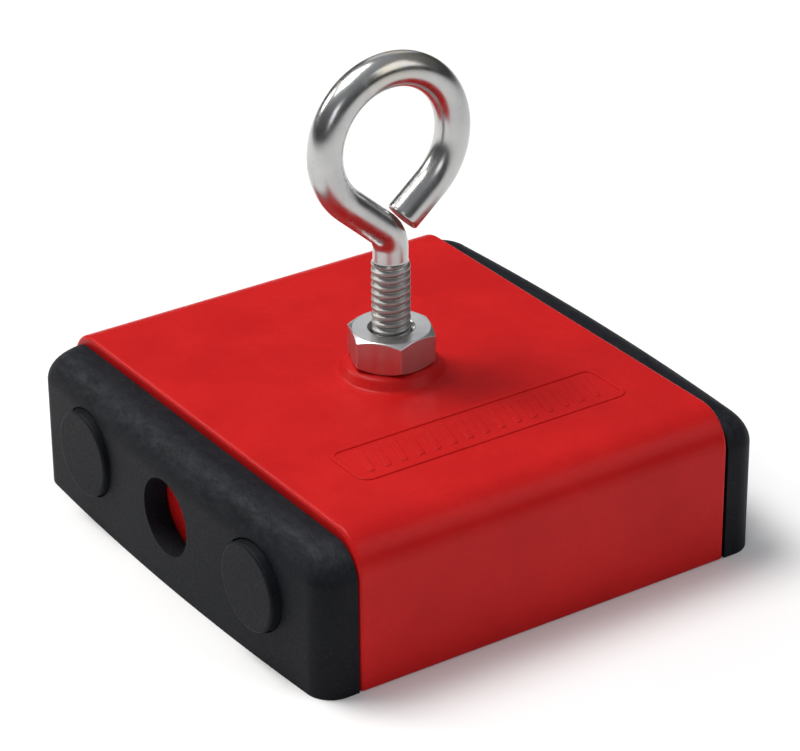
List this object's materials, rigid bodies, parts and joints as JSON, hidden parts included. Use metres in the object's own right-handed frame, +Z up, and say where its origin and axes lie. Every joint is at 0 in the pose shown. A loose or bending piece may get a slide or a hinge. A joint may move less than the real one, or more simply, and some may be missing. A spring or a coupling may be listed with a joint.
{
  "type": "lifting magnet",
  "caption": "Square retrieving and lifting magnet: moulded housing with bowed end caps over a steel and ferrite pole sandwich, lifted by a bent-wire eyebolt locked with a hexagon nut.",
  "frame": {"origin": "centre of the working face, at the underside of the housing and poles", "axes": "+Z up through the eyebolt, +X across the body from end cap to end cap, +Y along the end caps"},
  "size_m": [0.0858, 0.085, 0.0793],
  "materials": {
    "housing_red": "satin moulded plastic",
    "cap_black": "fine grained matt moulding",
    "plug_black": "fine grained matt moulding",
    "screw_zinc": "zinc plated",
    "pole_steel": "ground steel",
    "ferrite": "dull sintered ferrite",
    "pad_foam": "matt rubber pad",
    "nut_zinc": "bright zinc plate",
    "eyebolt_zinc": "bright zinc plate"
  },
  "bodies": {
    "magnet_body": {"housing": "housing_red", "end_cap_back": "cap_black", "end_cap_front": "cap_black", "cover_plug_back_left": "plug_black", "cover_plug_back_right": "plug_black", "cover_plug_front_left": "plug_black", "cover_plug_front_right": "plug_black", "cap_screw_back_left": "screw_zinc", "cap_screw_back_right": "screw_zinc", "cap_screw_front_left": "screw_zinc", "cap_screw_front_right": "screw_zinc", "outer_pole_back": "pole_steel", "outer_pole_front": "pole_steel", "centre_pole": "pole_steel", "ferrite_block_back_left": "ferrite", "ferrite_block_back_right": "ferrite", "ferrite_block_front_left": "ferrite", "ferrite_block_front_right": "ferrite", "backing_pad": "pad_foam"},
    "eyebolt": {"eyebolt": "eyebolt_zinc"},
    "nut": {"jam_nut": "nut_zinc"}
  },
  "joints": [
    {"name": "eyebolt_turn", "type": "hinge", "parent": "magnet_body", "child": "eyebolt", "pos_m": [0, 0, 0.03], "axis": [0, 0, 1], "range_deg": [-180, 180]},
    {"name": "nut_run", "type": "slide", "parent": "eyebolt", "child": "nut", "axis": [0, 0, 1], "range_m": [0, 0.0095]}
  ]
}
